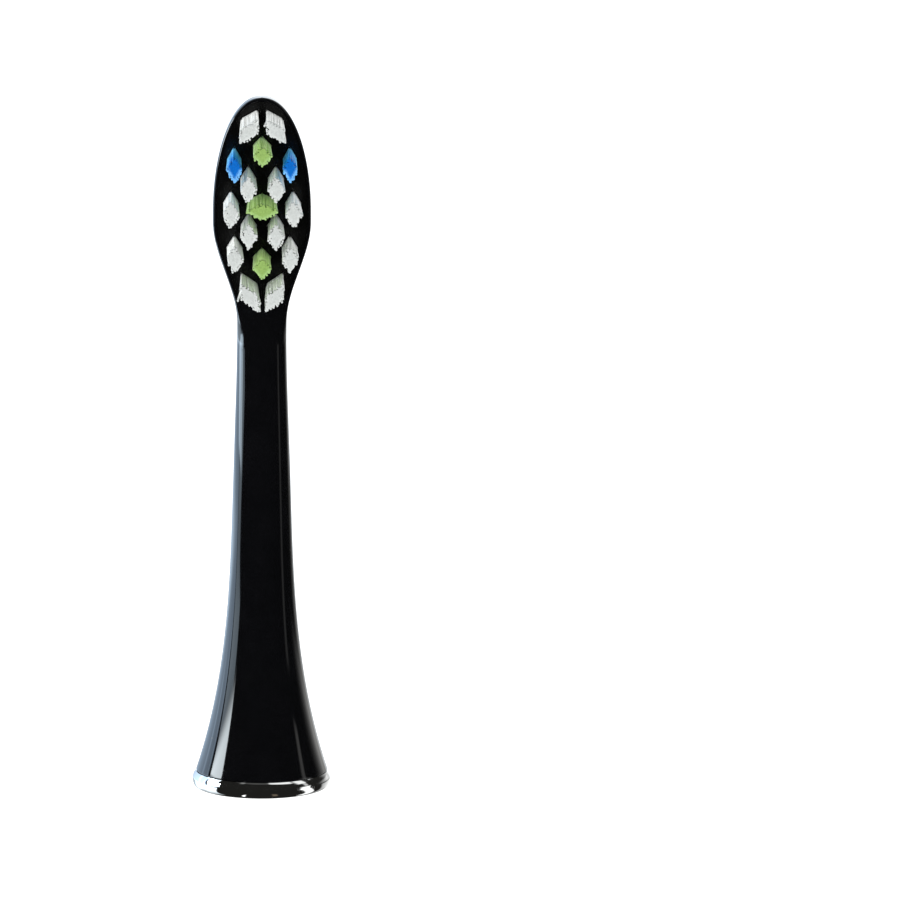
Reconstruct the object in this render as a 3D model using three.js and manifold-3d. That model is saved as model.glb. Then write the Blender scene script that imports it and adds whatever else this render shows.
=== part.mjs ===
// Replacement brush head for a sonic toothbrush.
// Millimetres, +Z up along the neck, bristles toward -Y. The head stands on its plated base ring.
// Until the last lines everything is measured from the drive shaft's axis (x = 0, y = 0) and from
// the surface that the ring stands on (z = 0).

import * as THREE from 'three';
import { mergeVertices } from 'three/addons/utils/BufferGeometryUtils.js';
import Module from 'manifold-3d';

const wasm = await Module();
wasm.setup();

const { lerp, smoothstep } = THREE.MathUtils;

// ---- Driving dimensions ----------------------------------------------------------------------

// Plated base ring
const ringHeight = 1.87;
const ringBulge = 0.35; // its widest line stands this far outside the skirt's edge
const ringWidestAt = 0.95; // height of that line
const ringFootInset = 0.75; // from the widest line in to the flat foot
const spigotHeight = 2.3; // plain collar that plugs into the skirt
const spigotWall = 0.8;
const spigotChamfer = 0.25;

// Stem: a slim neck that flares into the skirt
const stemLength = 51.73; // from the skirt's edge to the narrowest place
const neckRadius = 2.79;
const neckStraight = 4; // below the narrowest place the neck keeps its radius for this length
const neckTaper = 0.0316; // radius gained for each millimetre down
const skirtFlare = 3.78; // what the flare adds to the radius at z = 0
const flareHeight = 32.1;
const flarePower = 2.86;
const skirtEdgeRound = 0.15; // rounding of the skirt's bottom edge

// Oval head
const shoulderLength = 11.3; // from the narrowest place up to the full width
const ovalLift = 1.3; // from there up to the widest station
const ovalEnd = 12.8; // from the widest station up to the tip
const ovalFullness = 2.15;
const headHalfWidth = 5.51;
const faceDepth = 2.1; // the flat face lies this far in front of the shaft's axis
const backDome = 2.05; // the domed back lies this far behind it
const edgeRound = 0.18; // width of the rounded edge between the face and the sides
const edgeDepth = 0.3; // its depth
const neckBlend = 2.5; // the round neck turns into the flat head over this length

// Shell wall and the bore that the core sits in
const shellWall = 1.1;
const boreHeadroom = 0.8; // left above the core

// Bristle plate
const plateRim = 0.45; // shell wall left round the plate, at the widest place
const plateThickness = 1.6;
const plateEndAbove = 1.9; // the plate starts this far above the narrowest place
const plateEndRound = 1.6; // length of its rounded lower end

// Tufts, fused behind the plate
const bristleLength = 9;
const fieldSideMargin = 0.645; // plate left outside the widest pair of tufts
const fieldEndMargin = 2.15; // from the plate's ends to the middle of the end pairs
const whiteWidth = 1.87; // corner to corner of the common white diamond
const whiteHeight = 3;
const blueWidth = 1.65;
const blueHeight = 2.95;
const greenWidth = 2.2;
const greenHeight = 2.3;
const greenCentreWidth = 3.65;
const greenCentreHeight = 1.7;
const endWidth = 1.9; // the end pairs are parallelograms with two sides along the head
const endLean = 0.12; // those sides lean with the oval's outline by this slope
const tipSide = 1.65; // length of those sides
const tipSlant = 1.05; // drop from one of them to the other
const heelSide = 1.85;
const heelSlant = 1.3;
const tuftSplay = 0.06; // growth of the section from the face to the tips, as a fraction
const fluteDepth = 0.1; // hollows between the outer filaments
const buttonFlange = 0.1; // the fused button stands this far outside the tuft
const buttonThickness = 0.4;
const tipRaggedness = 0.55;

// Drive core with its D-shaped socket
const socketRadius = 1.75;
const socketFlat = 1.1; // from the shaft's axis to the flat
const socketLead = 0.55; // chamfer round the mouth
const socketDepth = 19;
const socketEndWall = 1.5;
const coreTubeRadius = 2.6;
const coreSetback = 0.5; // from the ring's collar up to the flange
const flangeThickness = 1.4;
const coreFillet = 0.5;
const ribThickness = 0.8;
const ribLength = 12;
const ribCount = 4;
const drainWidth = 0.9; // slots through the flange between the ribs
const drainMargin = 0.5;
const drainHalfAngle = THREE.MathUtils.degToRad(24);

// Steel spring leaf that grips the shaft
const clipWidth = 1.8;
const clipThickness = 0.25;
const clipLength = 6;
const clipLift = 0.9; // from the flange's top to the clip's foot
const clipBite = 0.25; // how far the leaf bows into the socket
const clipGap = 0.1;
const windowSill = 1; // wall left between the clip's foot and the window

// Cutting solids run this far past the faces that they cut through
const overcut = 1;

// Clearances
const seatGap = 0.03; // between flat faces that rest on each other
const ringFit = 0.05;
const coreFit = 0.05;
const plateFit = 0.04;
const tuftFit = 0.05;

// Facets
const around = 48; // of every revolved surface
const curveSegments = 16; // of each arc in an extruded shape
const backSteps = 18; // of a shell section behind the axis
const cornerSteps = 8; // of each front corner of a shell section
const edgeStations = 3;
const stemStations = 15;
const shoulderStations = 9;
const ovalStations = 13;
const fluteSteps = 5; // points along each side of a tuft's section

// ---- Heights and radii that follow ------------------------------------------------------------

const neckTop = ringHeight + stemLength;
const shoulderTop = neckTop + shoulderLength;
const ovalMid = shoulderTop + ovalLift;
const headTop = ovalMid + ovalEnd;
const plateBottom = neckTop + plateEndAbove;
const faceBottom = plateBottom - edgeRound;
const fieldCentre = (plateBottom + headTop - plateRim) / 2;

const skirtEdge = ringHeight + seatGap;
const spigotTop = ringHeight + spigotHeight;
const flangeBottom = spigotTop + coreSetback;
const flangeTop = flangeBottom + flangeThickness;
const socketTop = flangeBottom + socketDepth;
const coreTop = socketTop + socketEndWall;
const boreTop = coreTop + boreHeadroom;

function stemRadius(z) {
  const flare = Math.max(0, (flareHeight - z) / flareHeight);
  const taper = neckTaper * Math.max(0, neckTop - neckStraight - z);
  return neckRadius + taper + skirtFlare * flare ** flarePower;
}

// Half-width of the shell, or of an outline that lies a constant inset inside it.
function halfWidth(z, inset = 0) {
  if (z > ovalMid) {
    const rise = (z - ovalMid) / (headTop - inset - ovalMid);
    return (headHalfWidth - inset) * Math.max(0, 1 - rise ** 2) ** (1 / ovalFullness);
  }
  const widening = smoothstep(z, neckTop, shoulderTop);
  return lerp(stemRadius(z), headHalfWidth, widening) - inset;
}

function boreRadius(z) {
  return stemRadius(Math.max(z, spigotTop)) - shellWall;
}

const ringTopRadius = stemRadius(ringHeight);
const ringWidestRadius = ringTopRadius + ringBulge;
const spigotRadius = boreRadius(spigotTop) - ringFit;
const ringBoreRadius = spigotRadius - spigotWall;

// ---- Geometry helpers -------------------------------------------------------------------------

// Merge the shared vertices and drop the triangles that collapse at a pole.
function weld(geometry) {
  const bare = geometry.clone();
  bare.deleteAttribute('normal');
  bare.deleteAttribute('uv');
  const welded = mergeVertices(bare, 1e-5);
  const source = welded.index.array;
  const kept = [];
  for (let i = 0; i < source.length; i += 3) {
    const [a, b, c] = [source[i], source[i + 1], source[i + 2]];
    if (a !== b && b !== c && c !== a) kept.push(a, b, c);
  }
  welded.setIndex(kept);
  return welded;
}

function solidOf(geometry) {
  const welded = weld(geometry);
  return new wasm.Manifold(new wasm.Mesh({
    numProp: 3,
    vertProperties: new Float32Array(welded.attributes.position.array),
    triVerts: new Uint32Array(welded.index.array),
  }));
}

function geometryOf(solid) {
  const mesh = solid.getMesh();
  const geometry = new THREE.BufferGeometry();
  geometry.setAttribute('position', new THREE.BufferAttribute(mesh.vertProperties, 3));
  geometry.setIndex(new THREE.BufferAttribute(mesh.triVerts, 1));
  geometry.computeVertexNormals();
  return geometry;
}

// Turn a profile of (radius, height) points round the Z axis.
function revolve(profile) {
  const geometry = new THREE.LatheGeometry(profile, around);
  geometry.rotateX(Math.PI / 2);
  return weld(geometry);
}

// Extrude a shape in X and Y between two heights.
function prism(shape, bottom, top) {
  const options = { depth: top - bottom, bevelEnabled: false, curveSegments };
  const geometry = new THREE.ExtrudeGeometry(shape, options);
  geometry.translate(0, 0, bottom);
  return geometry;
}

function block(width, depth, bottom, top) {
  const geometry = new THREE.BoxGeometry(width, depth, top - bottom);
  geometry.translate(0, 0, (bottom + top) / 2);
  return geometry;
}

// Skin a row of rings and close both ends with a fan. Each ring runs counter-clockwise seen
// from the end that the row runs to.
function loft(rings, start, end) {
  const count = rings[0].length;
  const points = [...rings.flat(), start, end];
  const startIndex = points.length - 2;
  const endIndex = points.length - 1;
  const lastRing = (rings.length - 1) * count;
  const index = [];
  for (let i = 0; i < count; i++) {
    const next = (i + 1) % count;
    for (let base = 0; base < lastRing; base += count) {
      index.push(base + i, base + next, base + count + next);
      index.push(base + i, base + count + next, base + count + i);
    }
    index.push(startIndex, next, i);
    index.push(endIndex, lastRing + i, lastRing + next);
  }
  const geometry = new THREE.BufferGeometry().setFromPoints(points);
  geometry.setIndex(index);
  geometry.computeVertexNormals();
  return geometry;
}

// Frame of the bristle field: x across the face, y up along it from the field's centre, z out of it
// toward the tips.
const faceFrame = new THREE.Matrix4()
  .makeTranslation(0, -faceDepth, fieldCentre)
  .multiply(new THREE.Matrix4().makeRotationX(Math.PI / 2));

// ---- Head shell: lofted outer form, tapered bore, pocket for the plate --------------------------

function frontDepth(z) {
  const flattening = smoothstep(z, neckTop - neckBlend, faceBottom);
  const overEdge = Math.max(0, (z - headTop + edgeRound) / edgeRound);
  const drop = edgeDepth * (1 - Math.sqrt(Math.max(0, 1 - overEdge ** 2)));
  return lerp(stemRadius(z), faceDepth, flattening) - drop;
}

function backDepth(z) {
  const flattening = smoothstep(z, neckTop - neckBlend, (neckTop + shoulderTop) / 2);
  const rise = Math.max(0, (z - ovalMid) / ovalEnd);
  return lerp(stemRadius(z), backDome, flattening) * Math.max(0, 1 - rise ** 3) ** 0.4;
}

// What the rounding of the skirt's bottom edge takes off the radius.
function edgeInset(z) {
  const gap = Math.max(0, skirtEdge + skirtEdgeRound - z);
  return skirtEdgeRound - Math.sqrt(Math.max(0, skirtEdgeRound ** 2 - gap ** 2));
}

// One section of the shell: a domed back, straight sides, two rounded front corners and a flat
// between them. Where the neck is round the sides vanish and the flat is a single facet.
function shellSection(z) {
  const width = halfWidth(z) - edgeInset(z);
  const front = frontDepth(z) - edgeInset(z);
  const back = backDepth(z) - edgeInset(z);
  const flattening = smoothstep(z, neckTop - neckBlend, faceBottom);
  const singleFacet = Math.sin(Math.PI / (4 * cornerSteps + 2)) * width;
  const cornerWidth = Math.min(lerp(width, edgeRound, flattening), width - singleFacet);
  const cornerDepth = lerp(front, edgeDepth, flattening);
  const squareness = lerp(1, 0.88, flattening);
  const section = [];
  for (let i = 0; i <= backSteps; i++) {
    const angle = (Math.PI * i) / backSteps;
    const x = Math.sign(Math.cos(angle)) * Math.abs(Math.cos(angle)) ** squareness;
    const depth = Math.max(0, Math.sin(angle)) ** squareness;
    section.push(new THREE.Vector3(width * x, back * depth, z));
  }
  for (const side of [-1, 1]) {
    for (let i = 0; i <= cornerSteps; i++) {
      const step = side < 0 ? i : cornerSteps - i;
      const angle = (Math.PI / 2) * (step / cornerSteps);
      const x = side * (width - cornerWidth * (1 - Math.cos(angle)));
      const y = cornerDepth * (1 - Math.sin(angle)) - front;
      section.push(new THREE.Vector3(x, y, z));
    }
  }
  return section;
}

function shellHeights() {
  const heights = [];
  for (let i = 0; i < edgeStations; i++) {
    heights.push(skirtEdge + skirtEdgeRound * (1 - Math.cos((Math.PI / 2) * (i / edgeStations))));
  }
  for (let i = 0; i < stemStations; i++) {
    heights.push(lerp(skirtEdge + skirtEdgeRound, neckTop, (i / stemStations) ** 1.15));
  }
  for (let i = 0; i < shoulderStations; i++) {
    heights.push(lerp(neckTop, ovalMid, i / shoulderStations));
  }
  for (let i = 0; i < ovalStations; i++) {
    heights.push(ovalMid + ovalEnd * Math.sin((Math.PI / 2) * (i / ovalStations)));
  }
  return heights;
}

// The bore's wall as profile points, moved inward by a clearance.
function boreWall(clearance, bottom, top, steps) {
  const points = [];
  for (let i = 0; i <= steps; i++) {
    const z = lerp(bottom, top, i / steps);
    points.push(new THREE.Vector2(boreRadius(z) - clearance, z));
  }
  return points;
}

function shellBore() {
  const below = ringHeight - overcut;
  return revolve([
    new THREE.Vector2(0, below),
    new THREE.Vector2(boreRadius(spigotTop), below),
    ...boreWall(0, spigotTop, boreTop, 10),
    new THREE.Vector2(0, boreTop),
  ]);
}

function headShell() {
  const heights = shellHeights();
  const start = new THREE.Vector3(0, 0, heights[0]);
  const tip = new THREE.Vector3(0, (edgeDepth - faceDepth) / 2, headTop);
  const pocketFloor = -plateThickness - seatGap;
  const pocket = prism(plateOutline(plateFit), pocketFloor, overcut);
  pocket.applyMatrix4(faceFrame);
  const outer = solidOf(loft(heights.map(shellSection), start, tip));
  return geometryOf(outer.subtract(solidOf(shellBore())).subtract(solidOf(pocket)));
}

// ---- Bristle plate and tufts, in the frame of the bristle field -----------------------------------

// The plate follows the oval at a constant rim and ends in a half round above the neck.
function plateOutline(growth) {
  const steps = 22;
  const inset = plateRim - growth;
  const bottom = plateBottom - growth;
  const top = headTop - inset;
  const right = [];
  for (let i = 0; i <= steps; i++) {
    const z = lerp(bottom, top, (1 - Math.cos((Math.PI * i) / steps)) / 2);
    const endGap = Math.max(0, (bottom + plateEndRound - z) / plateEndRound);
    const rounding = Math.sqrt(Math.max(0, 1 - endGap ** 2));
    right.push(new THREE.Vector2(halfWidth(z, inset) * rounding, z - fieldCentre));
  }
  const left = right.slice(1, -1).reverse().map((point) => new THREE.Vector2(-point.x, point.y));
  return new THREE.Shape([...right, ...left]);
}

// A tuft's section is a parallelogram, given by two half-diagonals from its centre.
function diamond(width, height) {
  return [new THREE.Vector2(0, height / 2), new THREE.Vector2(width / 2, 0)];
}

// The end pairs' section, drawn for the right tuft. Its outer side is higher by the slant.
function slanted(side, slant) {
  const along = new THREE.Vector2(Math.sign(slant) * endLean * side / 2, side / 2);
  const across = new THREE.Vector2(endWidth / 2, slant / 2);
  return [across.clone().add(along), across.clone().sub(along)];
}

const fibreColours = { white: 0xdde1dc, green: 0x9cc25a, blue: 0x1767c9 };

const fieldHalfWidth = headHalfWidth - plateRim - fieldSideMargin - whiteWidth / 2;
const fieldHalfLength = (headTop - plateRim - plateBottom) / 2 - fieldEndMargin;

// Places are fractions of the field's half-width and half-length. Rows off the centre line
// hold a mirrored pair.
const whiteSection = diamond(whiteWidth, whiteHeight);
const greenSection = diamond(greenWidth, greenHeight);
const tuftRows = [
  { name: 'tip', across: 0.422, along: 0.995, fibre: 'white', section: slanted(tipSide, -tipSlant) },
  { name: 'green_upper', across: 0, along: 0.699, fibre: 'green', section: greenSection },
  { name: 'blue', across: 0.894, along: 0.533, fibre: 'blue', section: diamond(blueWidth, blueHeight) },
  { name: 'upper', across: 0.445, along: 0.301, fibre: 'white', section: whiteSection },
  {
    name: 'green_centre', across: 0, along: 0.035, fibre: 'green',
    section: diamond(greenCentreWidth, greenCentreHeight),
  },
  { name: 'side', across: 1, along: 0.003, fibre: 'white', section: whiteSection },
  { name: 'lower', across: 0.431, along: -0.264, fibre: 'white', section: whiteSection },
  { name: 'flank', across: 0.888, along: -0.536, fibre: 'white', section: whiteSection },
  { name: 'green_lower', across: 0, along: -0.648, fibre: 'green', section: greenSection },
  { name: 'heel', across: 0.391, along: -0.995, fibre: 'white', section: slanted(heelSide, heelSlant) },
];

function placeTufts() {
  const tufts = [];
  for (const row of tuftRows) {
    const sides = row.across === 0 ? [['', 1]] : [['_left', -1], ['_right', 1]];
    for (const [suffix, side] of sides) {
      tufts.push({
        name: `tuft_${row.name}${suffix}`,
        fibre: row.fibre,
        x: side * row.across * fieldHalfWidth,
        y: row.along * fieldHalfLength,
        corners: sectionCorners(row.section, side),
        phase: tufts.length,
      });
    }
  }
  return tufts;
}

// Corners of a section, counter-clockwise, mirrored for the left tuft of a pair.
function sectionCorners([up, across], side) {
  const corners = [up, across, up.clone().negate(), across.clone().negate()]
    .map((corner) => new THREE.Vector2(side * corner.x, corner.y));
  return THREE.ShapeUtils.isClockWise(corners) ? corners.reverse() : corners;
}

// The same parallelogram with every side moved outward by one distance.
function grown(corners, distance) {
  const half = corners.map((corner, i) => {
    const next = corners[(i + 1) % corners.length];
    return Math.abs(corner.x * next.y - corner.y * next.x) / corner.distanceTo(next);
  });
  const towardA = (half[0] + distance) / half[0];
  const towardB = (half[1] + distance) / half[1];
  const sideA = corners[0].clone().add(corners[1]).divideScalar(2).multiplyScalar(towardA);
  const sideB = corners[1].clone().add(corners[2]).divideScalar(2).multiplyScalar(towardB);
  const first = sideA.clone().sub(sideB);
  const second = sideA.clone().add(sideB);
  return [first, second, first.clone().negate(), second.clone().negate()];
}

function sectionPrism(tuft, growth, bottom, top) {
  const shape = new THREE.Shape(grown(tuft.corners, growth));
  const geometry = prism(shape, bottom, top);
  geometry.translate(tuft.x, tuft.y, 0);
  return geometry;
}

function bristlePlate(tufts) {
  let plate = solidOf(prism(plateOutline(0), -plateThickness, 0));
  const pocketTop = -plateThickness + buttonThickness + tuftFit;
  for (const tuft of tufts) {
    const hole = sectionPrism(tuft, tuftFit, -plateThickness - overcut, overcut);
    const pocket = sectionPrism(tuft, buttonFlange + tuftFit, -plateThickness - overcut, pocketTop);
    plate = plate.subtract(solidOf(hole)).subtract(solidOf(pocket));
  }
  return geometryOf(plate);
}

// A ring of the bundle: outer filaments stand on the section's sides, with hollows between them.
function bundleRing(corners, growth, flute, height) {
  const outline = grown(corners, growth);
  const ring = [];
  outline.forEach((corner, side) => {
    const next = outline[(side + 1) % outline.length];
    for (let i = 0; i < fluteSteps; i++) {
      const point = corner.clone().lerp(next, (i + 0.5) / fluteSteps);
      if (i % 2 === 1) point.setLength(point.length() - flute);
      ring.push(new THREE.Vector3(point.x, point.y, height(ring.length)));
    }
  });
  return ring;
}

function tuftBundle(tuft) {
  const back = -plateThickness + seatGap;
  const buttonTop = back + buttonThickness - seatGap;
  const spread = tuftSplay * tuft.corners[0].length();
  const ragged = (i) => tipRaggedness * Math.abs(Math.sin(i * (2.3 + 0.17 * tuft.phase)));
  const rings = [
    bundleRing(tuft.corners, buttonFlange, 0, () => back),
    bundleRing(tuft.corners, buttonFlange, 0, () => buttonTop),
    bundleRing(tuft.corners, 0, fluteDepth, () => buttonTop + seatGap),
    bundleRing(tuft.corners, 0, fluteDepth, () => 0),
    bundleRing(tuft.corners, spread, 2 * fluteDepth, (i) => bristleLength - ragged(i)),
  ];
  const start = new THREE.Vector3(0, 0, back);
  const end = new THREE.Vector3(0, 0, bristleLength - tipRaggedness / 2);
  return loft(rings, start, end);
}

// ---- Base ring ----------------------------------------------------------------------------------

function baseRing() {
  const outline = new THREE.Path();
  outline.moveTo(ringBoreRadius, 0);
  outline.lineTo(ringWidestRadius - ringFootInset, 0);
  outline.quadraticCurveTo(ringWidestRadius, 0, ringWidestRadius, ringWidestAt);
  outline.quadraticCurveTo(ringWidestRadius, lerp(ringWidestAt, ringHeight, 0.5), ringTopRadius, ringHeight);
  outline.lineTo(spigotRadius, ringHeight);
  outline.lineTo(spigotRadius, spigotTop - spigotChamfer);
  outline.lineTo(spigotRadius - spigotChamfer, spigotTop);
  outline.lineTo(ringBoreRadius, spigotTop);
  outline.lineTo(ringBoreRadius, 0);
  return revolve(outline.getPoints(5));
}

// ---- Drive core: flange, ribbed tube and D-shaped socket ------------------------------------------

function coreBody() {
  const profile = [new THREE.Vector2(0, flangeBottom)];
  profile.push(...boreWall(coreFit, flangeBottom, flangeTop, 1));
  profile.push(new THREE.Vector2(coreTubeRadius + coreFillet, flangeTop));
  profile.push(new THREE.Vector2(coreTubeRadius, flangeTop + coreFillet));
  for (const point of boreWall(coreFit, flangeTop + 2 * coreFillet, coreTop, 9)) {
    profile.push(new THREE.Vector2(Math.min(coreTubeRadius, point.x), point.y));
  }
  profile.push(new THREE.Vector2(0, coreTop));
  return solidOf(revolve(profile));
}

// Centring ribs between the tube and the bore, cut to the bore's taper.
function coreRibs() {
  const ribTop = flangeTop + ribLength;
  const ribRoot = (socketRadius + coreTubeRadius) / 2;
  const reach = boreRadius(flangeTop);
  const ribs = [];
  for (let i = 0; i < ribCount; i++) {
    const rib = block(reach, ribThickness, (flangeBottom + flangeTop) / 2, ribTop);
    rib.translate(ribRoot + reach / 2, 0, 0);
    rib.rotateZ((2 * Math.PI * (i + 0.5)) / ribCount);
    ribs.push(solidOf(rib));
  }
  const limit = revolve([
    new THREE.Vector2(0, flangeBottom),
    ...boreWall(coreFit, flangeBottom, ribTop + overcut, 12),
    new THREE.Vector2(0, ribTop + overcut),
  ]);
  return wasm.Manifold.union(ribs).intersect(solidOf(limit));
}

// Drain slots through the flange, between the ribs.
function flangeDrain(direction) {
  const outer = boreRadius(flangeTop) - coreFit - drainMargin;
  const shape = new THREE.Shape();
  shape.absarc(0, 0, outer, direction - drainHalfAngle, direction + drainHalfAngle, false);
  shape.absarc(0, 0, outer - drainWidth, direction + drainHalfAngle, direction - drainHalfAngle, true);
  return prism(shape, flangeBottom - overcut, flangeTop + overcut);
}

function socketBore() {
  const flatAngle = Math.acos(socketFlat / socketRadius);
  const shape = new THREE.Shape();
  shape.absarc(0, 0, socketRadius, Math.PI / 2 + flatAngle, Math.PI * 2.5 - flatAngle, false);
  return prism(shape, flangeBottom - overcut, socketTop);
}

function socketMouth() {
  return revolve([
    new THREE.Vector2(0, flangeBottom - overcut),
    new THREE.Vector2(socketRadius + socketLead, flangeBottom - overcut),
    new THREE.Vector2(socketRadius + socketLead, flangeBottom),
    new THREE.Vector2(socketRadius, flangeBottom + socketLead),
    new THREE.Vector2(0, flangeBottom + socketLead),
  ]);
}

function driveCore() {
  const clipFoot = flangeTop + clipLift;
  const windowWidth = clipWidth + 4 * clipGap;
  const windowTop = clipFoot + clipLength + 2 * clipGap;
  const window = block(windowWidth, 2 * coreTubeRadius, clipFoot + windowSill, windowTop);
  window.translate(0, -coreTubeRadius, 0);
  let core = coreBody().add(coreRibs());
  for (let i = 0; i < ribCount; i++) {
    core = core.subtract(solidOf(flangeDrain((2 * Math.PI * i) / ribCount)));
  }
  for (const cut of [socketBore(), socketMouth(), window]) {
    core = core.subtract(solidOf(cut));
  }
  return geometryOf(core);
}

// ---- Shaft clip: one steel strip, folded over at the top -------------------------------------------

function shaftClip() {
  const foot = flangeTop + clipLift;
  const outside = -coreTubeRadius - clipGap - clipThickness / 2;
  const inside = -socketRadius - clipThickness / 2;
  const bow = inside + clipBite;
  const foldRadius = (inside - outside) / 2;
  const foldStart = foot + clipLength - foldRadius - clipThickness / 2;
  const leafEnd = foot + windowSill + 3 * clipGap;
  const path = new THREE.CurvePath();
  path.add(new THREE.LineCurve3(
    new THREE.Vector3(0, outside, foot),
    new THREE.Vector3(0, outside, foldStart)));
  path.add(new THREE.CubicBezierCurve3(
    new THREE.Vector3(0, outside, foldStart),
    new THREE.Vector3(0, outside, foldStart + 1.3 * foldRadius),
    new THREE.Vector3(0, inside, foldStart + 1.3 * foldRadius),
    new THREE.Vector3(0, inside, foldStart)));
  path.add(new THREE.CubicBezierCurve3(
    new THREE.Vector3(0, inside, foldStart),
    new THREE.Vector3(0, lerp(inside, bow, 1.3), lerp(foldStart, leafEnd, 0.35)),
    new THREE.Vector3(0, lerp(inside, bow, 1.3), lerp(foldStart, leafEnd, 0.65)),
    new THREE.Vector3(0, inside, leafEnd)));
  const strip = new THREE.Shape();
  strip.moveTo(-clipThickness / 2, -clipWidth / 2);
  strip.lineTo(clipThickness / 2, -clipWidth / 2);
  strip.lineTo(clipThickness / 2, clipWidth / 2);
  strip.lineTo(-clipThickness / 2, clipWidth / 2);
  return new THREE.ExtrudeGeometry(strip, { extrudePath: path, steps: 36, bevelEnabled: false });
}

// ---- Assembly ---------------------------------------------------------------------------------------

function piece(name, geometry, colour, roughness, metalness = 0) {
  const material = new THREE.MeshStandardMaterial({ color: colour, roughness, metalness });
  const mesh = new THREE.Mesh(geometry, material);
  mesh.name = name;
  return mesh;
}

function bristleField() {
  const field = new THREE.Group();
  const tufts = placeTufts();
  field.applyMatrix4(faceFrame);
  field.add(piece('bristle_plate', bristlePlate(tufts), 0x08090a, 0.3));
  for (const tuft of tufts) {
    const mesh = piece(tuft.name, tuftBundle(tuft), fibreColours[tuft.fibre], 0.55);
    mesh.position.set(tuft.x, tuft.y, 0);
    field.add(mesh);
  }
  return field;
}

const brushHead = new THREE.Group();
brushHead.add(piece('head_shell', headShell(), 0x050608, 0.12));
brushHead.add(bristleField());
brushHead.add(piece('drive_core', driveCore(), 0xe8e6df, 0.45));
brushHead.add(piece('shaft_clip', shaftClip(), 0xb8bcc0, 0.3, 1));
brushHead.add(piece('base_ring', baseRing(), 0xd4d6d8, 0.06, 1));

// Centre the tips and the ring's back on y = 0.
brushHead.position.y = (faceDepth + bristleLength - ringWidestRadius) / 2;

export default brushHead;
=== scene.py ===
"""Replacement brush head for a sonic toothbrush, dressed for rendering.

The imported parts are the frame. Fine surfaces stand in for the shell, the ring, the tufts, the core
and the clip, and every piece has a material made from nodes. Lengths are in millimetres until MM
turns them to metres.
"""

import math

import bmesh
import bpy
from mathutils import Matrix, Quaternion, Vector


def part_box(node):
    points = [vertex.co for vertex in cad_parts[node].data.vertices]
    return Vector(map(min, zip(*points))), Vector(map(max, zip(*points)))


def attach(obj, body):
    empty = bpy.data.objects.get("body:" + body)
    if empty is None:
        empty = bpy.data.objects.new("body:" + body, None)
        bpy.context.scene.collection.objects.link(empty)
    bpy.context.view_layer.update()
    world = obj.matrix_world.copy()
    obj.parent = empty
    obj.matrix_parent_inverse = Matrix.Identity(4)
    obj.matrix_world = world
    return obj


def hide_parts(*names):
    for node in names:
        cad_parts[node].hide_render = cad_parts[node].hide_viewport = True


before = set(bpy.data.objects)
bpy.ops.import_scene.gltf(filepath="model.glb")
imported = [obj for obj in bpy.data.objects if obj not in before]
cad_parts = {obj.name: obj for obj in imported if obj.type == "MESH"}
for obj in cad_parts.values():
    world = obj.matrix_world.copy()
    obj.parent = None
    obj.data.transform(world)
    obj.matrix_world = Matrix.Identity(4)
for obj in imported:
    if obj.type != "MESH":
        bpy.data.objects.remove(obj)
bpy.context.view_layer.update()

MM = 0.001

# ---- Sizes of the head, in millimetres. Heights start at the ring's foot -------------

RING_HEIGHT = 1.87
RING_BULGE = 0.35
RING_WIDEST_AT = 0.95
RING_FOOT_INSET = 0.75
RING_FOOT_ROUND = 0.12
SPIGOT_HEIGHT = 2.3
SPIGOT_WALL = 0.8
SPIGOT_CHAMFER = 0.25

STEM_LENGTH = 51.73
NECK_RADIUS = 2.79
NECK_STRAIGHT = 4.0
NECK_TAPER = 0.0316
NECK_EASE = 4.0
SKIRT_FLARE = 3.78
FLARE_HEIGHT = 32.1
FLARE_POWER = 2.86
SKIRT_EDGE_ROUND = 0.15

SHOULDER_LENGTH = 11.3
OVAL_LIFT = 1.3
OVAL_END = 12.8
OVAL_FULLNESS = 2.15
HEAD_HALF_WIDTH = 5.51
FACE_DEPTH = 2.1
BACK_DOME = 2.05
BACK_SQUARENESS = 0.88
BACK_END_POWER = 3
BACK_END_ROUNDNESS = 0.4
EDGE_ROUND = 0.3
EDGE_DEPTH = 0.45
NECK_CORNER_SHARE = 0.985
NECK_BLEND = 2.5

SHELL_WALL = 1.1
BORE_TOP = 25.97
PLATE_RIM = 0.45
PLATE_THICKNESS = 1.6
PLATE_END_ABOVE = 1.9
PLATE_END_ROUND = 1.6
POCKET_DROP = 0.1

BRISTLE_LENGTH = 9.0
BRISTLE_TRIM = 0.12
WHITE_WIDTH = 1.87
END_WIDTH = 1.9
END_LEAN = 0.12
FIELD_SIDE_MARGIN = 0.645
FIELD_END_MARGIN = 2.15
BUTTON_FLANGE = 0.08
BUTTON_THICKNESS = 0.37
FILAMENT_DIAMETER = 0.24
FILAMENT_SPACING = 0.15
FILAMENT_JITTER = 0.01

SEAT_GAP = 0.03
RING_FIT = 0.05
PLATE_FIT = 0.04

# ---- Fineness of the surfaces --------------------------------------------------------

EDGE_STEPS, STEM_STEPS, SHOULDER_STEPS, OVAL_STEPS = 6, 90, 46, 46
STEM_CROWDING = 1.1
BACK_STEPS = 56
CORNER_STEPS = 16
PLATE_SIDE_STEPS = 64
BORE_STEPS = 40
BORE_SIDES = 128
RING_SIDES = 144
RING_CURVE_STEPS = 14
AXIS_GAP = 0.001
CUTTER_OVERRUN = 1.0
MERGE_DISTANCE = 0.001

# ---- Heights and radii that follow ---------------------------------------------------

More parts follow.
